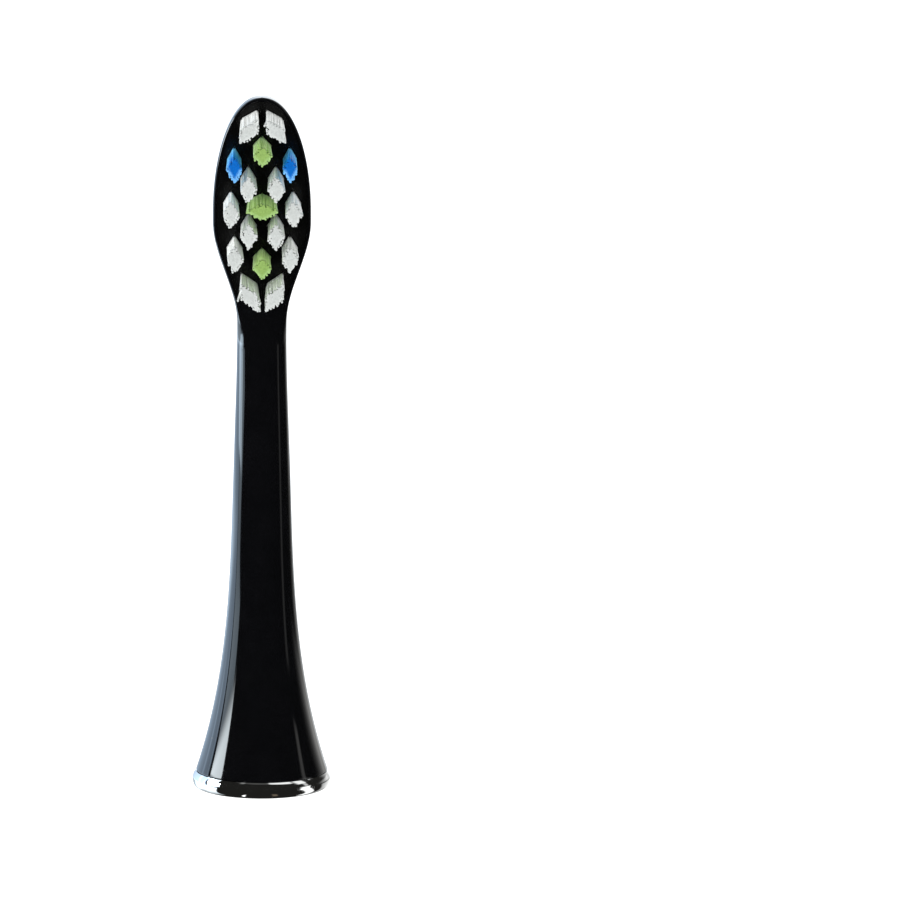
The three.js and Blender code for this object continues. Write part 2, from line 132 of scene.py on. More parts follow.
NECK_TOP = RING_HEIGHT + STEM_LENGTH
SHOULDER_TOP = NECK_TOP + SHOULDER_LENGTH
OVAL_MID = SHOULDER_TOP + OVAL_LIFT
HEAD_TOP = OVAL_MID + OVAL_END
PLATE_BOTTOM = NECK_TOP + PLATE_END_ABOVE
FACE_BOTTOM = PLATE_BOTTOM - EDGE_ROUND
FIELD_CENTRE = (PLATE_BOTTOM + HEAD_TOP - PLATE_RIM) / 2
SPIGOT_TOP = RING_HEIGHT + SPIGOT_HEIGHT
SKIRT_EDGE = RING_HEIGHT + SEAT_GAP

ring_low, ring_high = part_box("base_ring")
SHAFT_Y = (ring_low.y + ring_high.y) / 2 / MM
SHAFT_PLACE = Matrix.Translation((0, SHAFT_Y, 0))


def mix(a, b, share):
    return a + (b - a) * share


def smoothstep(value, low, high):
    share = min(1.0, max(0.0, (value - low) / (high - low)))
    return share * share * (3 - 2 * share)


def stem_radius(z):
    """The flared skirt and the neck, whose taper is eased in below its straight top."""
    flare = max(0.0, (FLARE_HEIGHT - z) / FLARE_HEIGHT)
    below = NECK_TOP - NECK_STRAIGHT - z
    if abs(below) < NECK_EASE:
        below = (below + NECK_EASE) ** 2 / (4 * NECK_EASE)
    return NECK_RADIUS + NECK_TAPER * max(0.0, below) + SKIRT_FLARE * flare ** FLARE_POWER


def half_width(z, inset=0.0):
    """Half-width of the shell, or of an outline that lies a constant inset inside it."""
    if z > OVAL_MID:
        rise = (z - OVAL_MID) / (HEAD_TOP - inset - OVAL_MID)
        return (HEAD_HALF_WIDTH - inset) * max(0.0, 1 - rise ** 2) ** (1 / OVAL_FULLNESS)
    widening = smoothstep(z, NECK_TOP, SHOULDER_TOP)
    return mix(stem_radius(z), HEAD_HALF_WIDTH, widening) - inset


def front_flattening(z):
    """How far the round neck has turned into the flat face: 0 in the neck, 1 in the oval."""
    return smoothstep(z, NECK_TOP - NECK_BLEND, FACE_BOTTOM)


def front_depth(z):
    over_edge = max(0.0, (z - HEAD_TOP + EDGE_ROUND) / EDGE_ROUND)
    drop = EDGE_DEPTH * (1 - math.sqrt(max(0.0, 1 - over_edge ** 2)))
    return mix(stem_radius(z), FACE_DEPTH, front_flattening(z)) - drop


def back_depth(z):
    flattening = smoothstep(z, NECK_TOP - NECK_BLEND, (NECK_TOP + SHOULDER_TOP) / 2)
    rise = max(0.0, (z - OVAL_MID) / OVAL_END)
    end = max(0.0, 1 - rise ** BACK_END_POWER) ** BACK_END_ROUNDNESS
    return mix(stem_radius(z), BACK_DOME, flattening) * end


def bore_radius(z):
    return stem_radius(max(z, SPIGOT_TOP)) - SHELL_WALL


RING_TOP_RADIUS = stem_radius(RING_HEIGHT)
RING_WIDEST_RADIUS = RING_TOP_RADIUS + RING_BULGE
SPIGOT_RADIUS = bore_radius(SPIGOT_TOP) - RING_FIT
RING_BORE_RADIUS = SPIGOT_RADIUS - SPIGOT_WALL

# Local x across the face, y up it from the field's centre and z out of it, to the object's frame.
FACE_CENTRE = (0, SHAFT_Y - FACE_DEPTH, FIELD_CENTRE)
FACE_FRAME = Matrix.Translation(FACE_CENTRE) @ Matrix.Rotation(math.pi / 2, 4, "X")

# ---- Mesh helpers --------------------------------------------------------------------


def new_object(name, data):
    piece = bpy.data.objects.new(name, data)
    bpy.context.scene.collection.objects.link(piece)
    return piece


def mesh_object(name, points, faces, place):
    """A piece from points in millimetres, set in place and turned to metres."""
    mesh = bpy.data.meshes.new(name)
    mesh.from_pydata(points, [], faces)
    mesh.transform(Matrix.Scale(MM, 4) @ place)
    mesh.validate()
    return new_object(name, mesh)


def smooth(piece, angle):
    for face in piece.data.polygons:
        face.use_smooth = True
    piece.data.set_sharp_from_angle(angle=math.radians(angle))


def band(count, lower, upper):
    """Faces between two rings of points, given the index of each ring's first point."""
    faces = []
    for i in range(count):
        j = (i + 1) % count
        faces.append((lower + i, lower + j, upper + j, upper + i))
    return faces


def skin(rings, start=None, end=None):
    """Faces over a row of rings. A start and an end point close it, else it closes on itself."""
    count = len(rings[0])
    points = [point for ring in rings for point in ring]
    pairs = list(zip(range(len(rings) - 1), range(1, len(rings))))
    if start is None:
        pairs.append((len(rings) - 1, 0))
    faces = []
    for lower, upper in pairs:
        faces += band(count, lower * count, upper * count)
    if start is not None:
        first, last = len(points), (len(rings) - 1) * count
        points += [start, end]
        for i in range(count):
            j = (i + 1) % count
            faces.append((first, j, i))
            faces.append((first + 1, last + i, last + j))
    return points, faces


def turned(name, profile, sides):
    """A closed profile of (radius, height) points turned round the shaft's axis."""
    angles = [2 * math.pi * i / sides for i in range(sides)]
    rings = [[(radius * math.cos(a), radius * math.sin(a), height) for a in angles]
             for radius, height in profile]
    points, faces = skin(rings)
    return mesh_object(name, points, faces, SHAFT_PLACE)


def plain_mesh(piece):
    """What the piece's modifiers make of it, as a mesh of its own. The modifiers go."""
    view = bpy.context.evaluated_depsgraph_get()
    mesh = bpy.data.meshes.new_from_object(piece.evaluated_get(view))
    piece.modifiers.clear()
    return mesh


def cut(piece, cutters):
    """Takes the cutters out of the piece and removes them."""
    for cutter in cutters:
        step = piece.modifiers.new("cut", "BOOLEAN")
        step.operation = "DIFFERENCE"
        step.solver = "EXACT"
        step.object = cutter
    piece.data = plain_mesh(piece)
    for cutter in cutters:
        bpy.data.objects.remove(cutter)


def merge_points(piece, flat_angle=0.0):
    """Joins points that share a place and, given an angle in degrees, faces that share a plane."""
    work = bmesh.new()
    work.from_mesh(piece.data)
    bmesh.ops.remove_doubles(work, verts=work.verts, dist=MERGE_DISTANCE * MM)
    if flat_angle:
        bmesh.ops.dissolve_limit(
            work, angle_limit=math.radians(flat_angle), verts=work.verts, edges=work.edges)
    work.to_mesh(piece.data)
    work.free()


def merged_copy(node, name):
    """A copy of a part of the frame with its loose triangles joined, so that it shades smooth."""
    piece = new_object(name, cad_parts[node].data.copy())
    merge_points(piece, flat_angle=0.5)
    smooth(piece, 32)
    return piece


# ---- Head shell ----------------------------------------------------------------------


def edge_inset(z):
    """What the rounding of the skirt's bottom edge takes off the radius."""
    gap = max(0.0, SKIRT_EDGE + SKIRT_EDGE_ROUND - z)
    return SKIRT_EDGE_ROUND - math.sqrt(max(0.0, SKIRT_EDGE_ROUND ** 2 - gap ** 2))


def shell_section(z):
    """Domed back, straight sides, two rounded front corners and the flat between them."""
    width, front, back = (
        depth(z) - edge_inset(z) for depth in (half_width, front_depth, back_depth))
    flattening = front_flattening(z)
    corner_width = mix(width * NECK_CORNER_SHARE, EDGE_ROUND, flattening)
    corner_depth = mix(front, EDGE_DEPTH, flattening)
    squareness = mix(1.0, BACK_SQUARENESS, flattening)
    section = []
    for i in range(BACK_STEPS + 1):
        angle = math.pi * i / BACK_STEPS
        x = math.copysign(abs(math.cos(angle)) ** squareness, math.cos(angle))
        section.append((width * x, back * max(0.0, math.sin(angle)) ** squareness, z))
    for side in (-1, 1):
        for i in range(CORNER_STEPS + 1):
            step = i if side < 0 else CORNER_STEPS - i
            angle = math.pi / 2 * step / CORNER_STEPS
            x = side * (width - corner_width * (1 - math.cos(angle)))
            section.append((x, corner_depth * (1 - math.sin(angle)) - front, z))
    return section


def shell_heights():
    """Heights of the shell's sections, closest together at its two ends."""
    stem_bottom = SKIRT_EDGE + SKIRT_EDGE_ROUND
    bend = math.pi / 2 / EDGE_STEPS
    heights = [SKIRT_EDGE + SKIRT_EDGE_ROUND * (1 - math.cos(i * bend)) for i in range(EDGE_STEPS)]
    heights += [mix(stem_bottom, NECK_TOP, (i / STEM_STEPS) ** STEM_CROWDING)
                for i in range(STEM_STEPS)]
    heights += [mix(NECK_TOP, OVAL_MID, i / SHOULDER_STEPS) for i in range(SHOULDER_STEPS)]
    heights += [OVAL_MID + OVAL_END * math.sin(math.pi / 2 * i / OVAL_STEPS)
                for i in range(OVAL_STEPS)]
    return heights


def bore_cutter():
    below = SKIRT_EDGE - CUTTER_OVERRUN
    profile = [(AXIS_GAP, below), (bore_radius(SPIGOT_TOP), below)]
    for i in range(BORE_STEPS + 1):
        z = mix(SPIGOT_TOP, BORE_TOP, i / BORE_STEPS)
        profile.append((bore_radius(z), z))
    profile.append((AXIS_GAP, BORE_TOP))
    return turned("bore_cutter", profile, BORE_SIDES)


def plate_outline(growth):
    inset = PLATE_RIM - growth
    bottom, top = PLATE_BOTTOM - growth, HEAD_TOP - inset
    right = []
    for i in range(PLATE_SIDE_STEPS + 1):
        z = mix(bottom, top, (1 - math.cos(math.pi * i / PLATE_SIDE_STEPS)) / 2)
        end_gap = max(0.0, (bottom + PLATE_END_ROUND - z) / PLATE_END_ROUND)
        rounding = math.sqrt(max(0.0, 1 - end_gap ** 2))
        right.append((half_width(z, inset) * rounding, z - FIELD_CENTRE))
    left = [(-x, y) for x, y in reversed(right[1:-1])]
    return right + left


def pocket_cutter():
    """The pocket behind the plate's place, open to the front."""
    outline = plate_outline(PLATE_FIT)
    count = len(outline)
    floor, mouth = -PLATE_THICKNESS - POCKET_DROP, CUTTER_OVERRUN
    points = [(x, y, h) for h in (floor, mouth) for x, y in outline]
    faces = [tuple(reversed(range(count))), tuple(range(count, 2 * count))]
    faces += band(count, 0, count)
    return mesh_object("pocket_cutter", points, faces, FACE_FRAME)


def make_shell():
    heights = shell_heights()
    rings = [shell_section(z) for z in heights]
    tip = (0, (EDGE_DEPTH - FACE_DEPTH) / 2, HEAD_TOP)
    points, faces = skin(rings, (0, 0, heights[0]), tip)
    shell = mesh_object("head_shell_skin", points, faces, SHAFT_PLACE)
    merge_points(shell)
    cut(shell, [bore_cutter(), pocket_cutter()])
    smooth(shell, 30)
    return shell


# ---- Base ring -----------------------------------------------------------------------


def curve_points(start, handle, end):
    """Points of a quadratic curve after its start."""
    points = []
    for i in range(1, RING_CURVE_STEPS + 1):
        t = i / RING_CURVE_STEPS
        points.append(tuple(
            (1 - t) ** 2 * a + 2 * t * (1 - t) * b + t ** 2 * c
            for a, b, c in zip(start, handle, end)))
    return points


def make_ring():
    """A bulging foot with a spigot that goes up into the skirt's bore."""
    widest = (RING_WIDEST_RADIUS, RING_WIDEST_AT)
    foot = (RING_WIDEST_RADIUS - RING_FOOT_INSET, 0)
    top = (RING_TOP_RADIUS, RING_HEIGHT)
    profile = [(RING_BORE_RADIUS + RING_FOOT_ROUND, 0), foot]
    profile += curve_points(foot, (RING_WIDEST_RADIUS, 0), widest)
    profile += curve_points(widest, (RING_WIDEST_RADIUS, (RING_WIDEST_AT + RING_HEIGHT) / 2), top)
    profile += [
        (SPIGOT_RADIUS, RING_HEIGHT),
        (SPIGOT_RADIUS, SPIGOT_TOP - SPIGOT_CHAMFER),
        (SPIGOT_RADIUS - SPIGOT_CHAMFER, SPIGOT_TOP),
        (RING_BORE_RADIUS, SPIGOT_TOP),
        (RING_BORE_RADIUS, RING_FOOT_ROUND),
    ]
    ring = turned("base_ring_skin", profile, RING_SIDES)
    smooth(ring, 28)
    return ring


# ---- Node helpers --------------------------------------------------------------------


class Tree:
    """Adds and links the nodes of one tree, left to right."""

    def __init__(self, tree):
        self.tree = tree
        self.column = 0

    def node(self, kind, inputs=None, **settings):
        node = self.tree.nodes.new(kind)
        self.column += 1
        node.location = (180 * self.column, -60 * (self.column % 5))
        for key, value in settings.items():
            setattr(node, key, value)
        for key, value in (inputs or {}).items():
            socket = node.inputs[key]
            if isinstance(value, bpy.types.NodeSocket):
                self.link(value, socket)
            else:
                socket.default_value = value
        return node

    def link(self, source, target):
        self.tree.links.new(source, target)

    def math(self, operation, *values):
        return self.node("ShaderNodeMath", dict(enumerate(values)), operation=operation).outputs[0]

    def vector_math(self, operation, *values):
        return self.node("ShaderNodeVectorMath", dict(enumerate(values)), operation=operation)

    def ramp(self, value, low, high, start=0.0, end=1.0, **settings):
        """Carries a value from the range low to high over to start to end, and holds it there."""
        inputs = {0: value, 1: low, 2: high, 3: start, 4: end}
        return self.node("ShaderNodeMapRange", inputs, **settings).outputs[0]


def add_socket(tree, name, kind, default=None, out=False):
    socket = tree.interface.new_socket(
        name, in_out="OUTPUT" if out else "INPUT", socket_type="NodeSocket" + kind)
    if default is not None:
        socket.default_value = default


def marked(t, geometry, name, value, data_type="FLOAT"):
    """The geometry with a value stored on its points."""
    return t.node(
        "GeometryNodeStoreNamedAttribute", {"Geometry": geometry, "Name": name, "Value": value},
        data_type=data_type, domain="POINT").outputs["Geometry"]


def stored(t, name, data_type="FLOAT"):
    return t.node(
        "GeometryNodeInputNamedAttribute", {"Name": name}, data_type=data_type).outputs["Attribute"]


def moved(t, geometry, place):
    return t.node(
        "GeometryNodeSetPosition", {"Geometry": geometry, "Position": place}).outputs["Geometry"]


def scaled(t, vector, factor):
    return t.node(
        "ShaderNodeVectorMath", {0: vector, "Scale": factor}, operation="SCALE").outputs[0]


def vector_sum(t, first, second):
    return t.vector_math("ADD", first, second).outputs[0]


def along_z(t, value):
    return t.node("ShaderNodeCombineXYZ", {2: value}).outputs[0]


def place_parts(t):
    """The x, y and z of each point."""
    return t.node(
        "ShaderNodeSeparateXYZ", {0: t.node("GeometryNodeInputPosition").outputs[0]}).outputs


def random_number(t, group, draw, low, high):
    """A number for each filament. Every draw has its own seed."""
    seed = t.math("ADD", group["Seed"], draw)
    return t.node(
        "FunctionNodeRandomValue", {2: low, 3: high, "Seed": seed}, data_type="FLOAT").outputs[1]


def random_sideways(t, group, draw, reach):
    """A vector across the bundle for each filament."""
    seed = t.math("ADD", group["Seed"], draw)
    return t.node(
        "FunctionNodeRandomValue", {0: (-reach, -reach, 0), 1: (reach, reach, 0), "Seed": seed},
        data_type="FLOAT_VECTOR").outputs[0]


# ---- Tufts ---------------------------------------------------------------------------

TUFT_INPUTS = [
    ("Geometry", "Geometry", None),
    ("Side A", "Vector", (1.0, 0.0, 0.0)),
    ("Side B", "Vector", (0.0, 1.0, 0.0)),
    ("Root Depth", "Float", PLATE_THICKNESS - SEAT_GAP - BUTTON_THICKNESS),
    ("Length", "Float", BRISTLE_LENGTH - BRISTLE_TRIM),
    ("Filament Radius", "Float", FILAMENT_DIAMETER / 2),
    ("Spacing", "Float", FILAMENT_SPACING),
    ("Splay", "Float", 0.07),
    ("Wander", "Float", 0.002),
    ("Fray", "Float", 0.012),
    ("Ragged", "Float", 0.03),
    ("Stray", "Float", 0.045),
    ("Stray Share", "Float", 0.008),
    ("Bow", "Float", 0.008),
    ("Button Growth", "Float", BUTTON_FLANGE),
    ("Button Thickness", "Float", BUTTON_THICKNESS),
    ("Seed", "Int", 0),
    ("Material", "Material", None),
]
FIRST_SEED, SEED_STEP = 23, 17
STRAND_DRAW, JITTER_DRAW, WANDER_DRAW, STRAY_DRAW, SPIN_DRAW, SHORT_DRAW = range(1, 7)
STATIONS_ON_FILAMENT, SIDES_OF_FILAMENT = 7, 6
TIP_CROWDING = 0.55
CUT_END_FROM, CUT_END_WIDTH = 0.9, 0.94
CORNER_POWER, CORNER_LIMIT = 8.0, 1.5
FRAYED_FROM = 0.8
SHORT_POWER = 1.6
FULL_TURN = 6.283


def one_filament(t, group):
    """One filament along Z, one long, slightly bowed, with a cut end."""
    line = t.node("GeometryNodeCurvePrimitiveLine", {"End": (0, 0, 1)})
    points = t.node("GeometryNodeResampleCurve", {
        "Curve": line.outputs["Curve"], "Count": STATIONS_ON_FILAMENT})
    along = t.node("GeometryNodeSplineParameter").outputs["Factor"]
    # Stations crowd toward the tip, whose colour changes quickly.
    height = t.math("POWER", along, TIP_CROWDING)
    bow = t.math("MULTIPLY", t.math("MULTIPLY", height, height), group["Bow"])
    place = t.node("ShaderNodeCombineXYZ", {0: bow, 2: height}).outputs[0]
    bent = marked(t, moved(t, points.outputs["Curve"], place), "along", height)
    narrowing = t.ramp(
        along, CUT_END_FROM, 1.0, 1.0, CUT_END_WIDTH, interpolation_type="SMOOTHSTEP")
    circle = t.node("GeometryNodeCurvePrimitiveCircle", {
        "Resolution": SIDES_OF_FILAMENT, "Radius": 1.0})
    solid = t.node("GeometryNodeCurveToMesh", {
        "Curve": bent, "Profile Curve": circle.outputs["Curve"],
        "Scale": t.math("MULTIPLY", narrowing, group["Filament Radius"]), "Fill Caps": True})
    return solid.outputs["Mesh"]


def lattice(t, group, reaches):
    """One point for each filament, from -1 to 1 across both pairs of the tuft's sides."""
    counts = []
    for reach in reaches:
        free = t.math("SUBTRACT", t.math("MULTIPLY", reach, 2.0), group["Spacing"])
        counts.append(t.math("ADD", t.math("ROUND", t.math("DIVIDE", free, group["Spacing"])), 1.0))
    grid = t.node("GeometryNodeMeshGrid", {
        "Size X": 2.0, "Size Y": 2.0, "Vertices X": counts[0], "Vertices Y": counts[1]})
    return grid.outputs["Mesh"]


def marked_lattice(t, group, points, a, b):
    """Keeps what the filaments need once the points have moved, and rounds the bundle's corners."""
    sizes = [t.math("ABSOLUTE", value) for value in (a, b)]
    points = marked(t, points, "edge", t.math("MAXIMUM", *sizes))
    # Both grow upward, so the rim is one along the two lower sides and at the side corners.
    points = marked(t, points, "rim", t.math("MULTIPLY", t.math("MINIMUM", a, b), -1.0))
    points = marked(t, points, "strand", random_number(t, group, STRAND_DRAW, 0.0, 1.0))
    outside = t.math("ADD", *(t.math("POWER", size, CORNER_POWER) for size in sizes))
    rounded = t.node("GeometryNodeDeleteGeometry", {
        "Geometry": points, "Selection": t.math("GREATER_THAN", outside, CORNER_LIMIT)},
        domain="POINT", mode="ALL")
    return rounded.outputs["Geometry"]


def rooted_points(t, group, reaches):
    """The lattice set in the tuft's parallelogram, at the depth of the filaments' roots."""
    a, b, _ = place_parts(t)
    points = marked_lattice(t, group, lattice(t, group, reaches), a, b)
    steps = []
    for side, reach, value in zip(("Side A", "Side B"), reaches, (a, b)):
        inside = t.math("SUBTRACT", 1.0, t.math("DIVIDE", group["Filament Radius"], reach))
        steps.append(scaled(t, group[side], t.math("MULTIPLY", value, inside)))
    jitter = random_sideways(t, group, JITTER_DRAW, FILAMENT_JITTER)
    flat = vector_sum(t, vector_sum(t, *steps), jitter)
    root = vector_sum(t, flat, along_z(t, t.math("MULTIPLY", group["Root Depth"], -1.0)))
    # The lean is taken from the flat place before the points move.
    return moved(t, marked(t, points, "lean", flat, data_type="FLOAT_VECTOR"), root)


def filament_turn(t, group):
    """Each filament leans outward with its distance from the middle, and wanders a little."""
    outward = scaled(t, stored(t, "lean", data_type="FLOAT_VECTOR"),
                     t.math("DIVIDE", group["Splay"], group["Length"]))
    chance = random_number(t, group, STRAY_DRAW, 0.0, 1.0)
    is_stray = t.math("LESS_THAN", chance, group["Stray Share"])
    amount = t.math("ADD", group["Wander"], t.math("MULTIPLY", is_stray, group["Stray"]))
    frayed = t.ramp(stored(t, "edge"), FRAYED_FROM, 1.0, 0.0, group["Fray"])
    wander = scaled(t, random_sideways(t, group, WANDER_DRAW, 1), t.math("ADD", amount, frayed))
    direction = vector_sum(t, vector_sum(t, (0, 0, 1), outward), wander)
    aim = t.node("FunctionNodeAlignRotationToVector", {"Vector": direction}, axis="Z")
    spin = t.node("FunctionNodeAxisAngleToRotation", {
        "Axis": (0, 0, 1), "Angle": random_number(t, group, SPIN_DRAW, 0.0, FULL_TURN)})
    turn = t.node("FunctionNodeRotateRotation", {0: aim.outputs[0], 1: spin.outputs[0]},
                  rotation_space="LOCAL")
    return turn.outputs[0]


def filament_size(t, group):
    """Most filaments are full length, and the trim leaves some short."""
    short = t.math("POWER", random_number(t, group, SHORT_DRAW, 0.0, 1.0), SHORT_POWER)
    length = t.math("SUBTRACT", group["Length"], t.math("MULTIPLY", short, group["Ragged"]))
    size = t.node("ShaderNodeCombineXYZ", {
        0: 1.0, 1: 1.0, 2: t.math("ADD", length, group["Root Depth"])})
    return size.outputs[0]


def fused_button(t, group, reaches):
    """The filaments' melted ends, one block behind the plate."""
    block = t.node("GeometryNodeMeshCube", {"Size": (2, 2, 1)}).outputs["Mesh"]
    across, up, out = place_parts(t)
    steps = []
    for side, reach, value in zip(("Side A", "Side B"), reaches, (across, up)):
        growth = t.math("ADD", 1.0, t.math("DIVIDE", group["Button Growth"], reach))
        steps.append(scaled(t, group[side], t.math("MULTIPLY", value, growth)))
    thickness = t.math("MULTIPLY", t.math("SUBTRACT", out, 0.5), group["Button Thickness"])
    level = t.math("SUBTRACT", thickness, group["Root Depth"])
    return moved(t, block, vector_sum(t, vector_sum(t, *steps), along_z(t, level)))


def tuft_tree():
    """A bundle of filaments with the tuft's own parallelogram for its section, and its button."""
    tree = bpy.data.node_groups.new("tuft_of_filaments", "GeometryNodeTree")
    for name, kind, default in TUFT_INPUTS:
        add_socket(tree, name, kind, default)
    add_socket(tree, "Geometry", "Geometry", out=True)
    t = Tree(tree)
    group = t.node("NodeGroupInput").outputs
    reaches = [
        t.vector_math("LENGTH", group[side]).outputs["Value"] for side in ("Side A", "Side B")]
    filaments = t.node("GeometryNodeInstanceOnPoints", {
        "Points": rooted_points(t, group, reaches), "Instance": one_filament(t, group),
        "Rotation": filament_turn(t, group), "Scale": filament_size(t, group)})
    joined = t.node("GeometryNodeJoinGeometry")
    t.link(filaments.outputs["Instances"], joined.inputs[0])
    t.link(fused_button(t, group, reaches), joined.inputs[0])
    real = t.node("GeometryNodeRealizeInstances", {"Geometry": joined.outputs[0]})
    dressed = t.node("GeometryNodeSetMaterial", {
        "Geometry": real.outputs[0], "Material": group["Material"]})
    t.link(dressed.outputs[0], t.node("NodeGroupOutput").inputs[0])
    return tree


def diamond(width, height):
    """Half-sides of a diamond: the middles of two neighbouring sides, from its centre."""
    top, right = Vector((0, height / 2)), Vector((width / 2, 0))
    return (top + right) / 2, (top - right) / 2


def slanted(side, slant):
    """Half-sides of the end pairs' parallelogram. Its outer side is higher by the slant."""
    lean = math.copysign(END_LEAN, slant)
    return Vector((lean * side / 2, side / 2)), Vector((END_WIDTH / 2, slant / 2))


WHITE = diamond(WHITE_WIDTH, 3.0)
GREEN = diamond(2.2, 2.3)

# Places are fractions of the field's half-width and half-length.
TUFT_ROWS = [
    ("tip", 0.422, 0.995, "white", slanted(1.65, -1.05)),
    ("green_upper", 0.0, 0.699, "green", GREEN),
    ("blue", 0.894, 0.533, "blue", diamond(1.65, 2.95)),
    ("upper", 0.445, 0.301, "white", WHITE),
    ("green_centre", 0.0, 0.035, "green", diamond(3.65, 1.7)),
    ("side", 1.0, 0.003, "white", WHITE),
    ("lower", 0.431, -0.264, "white", WHITE),
    ("flank", 0.888, -0.536, "white", WHITE),
    ("green_lower", 0.0, -0.648, "green", GREEN),
    ("heel", 0.391, -0.995, "white", slanted(1.85, 1.3)),
]

FIELD_HALF_WIDTH = HEAD_HALF_WIDTH - PLATE_RIM - FIELD_SIDE_MARGIN - WHITE_WIDTH / 2
FIELD_HALF_LENGTH = (HEAD_TOP - PLATE_RIM - PLATE_BOTTOM) / 2 - FIELD_END_MARGIN


def set_input(modifier, name, value):
    sockets = modifier.node_group.interface.items_tree
    modifier[next(s for s in sockets if s.name == name and s.in_out == "INPUT").identifier] = value


def make_tuft(node, tree, centre, sides, seed, material):
    """One tuft as a plain mesh, set in the plate."""
    side_a, side_b = sides
    if side_a.x * side_b.y - side_a.y * side_b.x < 0:
        side_a, side_b = side_b, side_a
    tuft = new_object(node + "_bundle", bpy.data.meshes.new(node))
    grow = tuft.modifiers.new("filaments", "NODES")
    grow.node_group = tree
    set_input(grow, "Side A", (side_a.x, side_a.y, 0.0))
    set_input(grow, "Side B", (side_b.x, side_b.y, 0.0))
    set_input(grow, "Seed", seed)
    set_input(grow, "Material", material)
    mesh = plain_mesh(tuft)
    mesh.transform(Matrix.Scale(MM, 4) @ FACE_FRAME @ Matrix.Translation((*centre, 0)))
    tuft.data = mesh
    smooth(tuft, 60)
    return tuft


def make_tufts(materials):
    tree = tuft_tree()
    seed = FIRST_SEED
    for row, across, along, fibre, sides in TUFT_ROWS:
        pair = [("", 1)] if across == 0 else [("_left", -1), ("_right", 1)]
        for suffix, way in pair:
            node = f"tuft_{row}{suffix}"
            centre = (way * across * FIELD_HALF_WIDTH, along * FIELD_HALF_LENGTH)
            mirrored = [Vector((way * side.x, side.y)) for side in sides]
            tuft = make_tuft(node, tree, centre, mirrored, seed, materials[fibre])
            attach(tuft, "head")
            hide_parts(node)
            seed += SEED_STEP


# ---- Material effects that several finishes share ------------------------------------


def effect_group(name, inputs, outputs):
    """A shader node group of plain numbers: its tree, its helper, its inputs and its outputs."""
    tree = bpy.data.node_groups.new(name, "ShaderNodeTree")
    for label, default in inputs:
        add_socket(tree, label, "Float", default)
    for label in outputs:
        add_socket(tree, label, "Float", out=True)
    t = Tree(tree)
    return tree, t, t.node("NodeGroupInput").outputs, t.node("NodeGroupOutput").inputs


def object_place(t):
    return t.node("ShaderNodeTexCoord").outputs["Object"]


def per_millimetre(t, size):
    """The texture scale that makes one cell as large as a size in millimetres."""
    return t.math("DIVIDE", 1 / MM, size)


def moulded_skin_effect():
    """The faint unevenness of a moulded surface: slow waves, fine grain and a roughness mask."""
    tree, t, given, out = effect_group(
        "moulded_skin", [("Grain Size", 0.05), ("Wave Size", 3.0)], ["Height", "Mask"])
    place = object_place(t)
    grain = t.node("ShaderNodeTexNoise", {
        "Vector": place, "Scale": per_millimetre(t, given["Grain Size"]),
        "Detail": 3.0, "Roughness": 0.6}).outputs[0]
    wave = t.node("ShaderNodeTexNoise", {
        "Vector": place, "Scale": per_millimetre(t, given["Wave Size"]), "Detail": 2.0}).outputs[0]
    t.link(t.math("ADD", t.math("MULTIPLY", grain, 0.3), wave), out["Height"])
    t.link(t.ramp(wave, 0.3, 0.7), out["Mask"])
    return tree


def settled_dust_effect():
    """Small separate specks of dust."""
    tree, t, given, out = effect_group(
        "settled_dust", [("Speck Spacing", 2.0), ("Speck Size", 0.08), ("Share", 0.35)], ["Mask"])
    cells = t.node("ShaderNodeTexVoronoi", {
        "Vector": object_place(t), "Scale": per_millimetre(t, given["Speck Spacing"])})
    chance, variety, _ = t.node("ShaderNodeSeparateColor", {0: cells.outputs["Color"]}).outputs
    size = t.math("MULTIPLY", t.math("DIVIDE", given["Speck Size"], given["Speck Spacing"]),
                  t.math("ADD", variety, 0.4))
    inside = t.math("LESS_THAN", cells.outputs["Distance"], size)
    chosen = t.math("LESS_THAN", chance, given["Share"])
    t.link(t.math("MULTIPLY", inside, chosen), out["Mask"])
    return tree


def fine_scratch_effect():
    """Hairline scratches that run mostly one way, broken into short lengths."""
    tree, t, given, out = effect_group(
        "fine_scratches", [("Line Width", 0.05), ("Amount", 0.3)], ["Height", "Mask"])
    stretched = t.node("ShaderNodeMapping", {
        "Vector": object_place(t), "Rotation": (0.2, 0.1, 0.3), "Scale": (1.0, 1.0, 0.03)})
    lines = t.node("ShaderNodeTexNoise", {
        "Vector": stretched.outputs[0], "Scale": per_millimetre(t, given["Line Width"]),
        "Detail": 1.0}).outputs[0]
    patches = t.node("ShaderNodeTexNoise", {
        "Vector": object_place(t), "Scale": 0.25 / MM, "Detail": 2.0}).outputs[0]
    scratched = t.math("MULTIPLY", t.ramp(lines, 0.66, 0.72), t.ramp(patches, 0.45, 0.65))
    mask = t.math("MULTIPLY", scratched, given["Amount"])
    t.link(t.math("MULTIPLY", mask, -1.0), out["Height"])
    t.link(mask, out["Mask"])
    return tree


SKIN = moulded_skin_effect()
DUST = settled_dust_effect()
SCRATCHES = fine_scratch_effect()


def placed_effect(t, tree, **values):
    """The outputs of a shared effect, placed in a material with its own sizes in millimetres."""
    node = t.node("ShaderNodeGroup", node_tree=tree)
    for name, value in values.items():
        node.inputs[name.replace("_", " ").title()].default_value = value
    return node.outputs


# ---- Materials -----------------------------------------------------------------------


def empty_material(name):
    material = bpy.data.materials.new(name)
    material.use_nodes = True
    material.node_tree.nodes.clear()
    return material, Tree(material.node_tree)


def start_material(name, **constants):
    material, t = empty_material(name)
    surface = t.node("ShaderNodeBsdfPrincipled")
    for key, value in constants.items():
        surface.inputs[key.replace("_", " ").title().replace("Ior", "IOR")].default_value = value
    out = t.node("ShaderNodeOutputMaterial")
    t.link(surface.outputs[0], out.inputs["Surface"])
    return material, t, surface.inputs


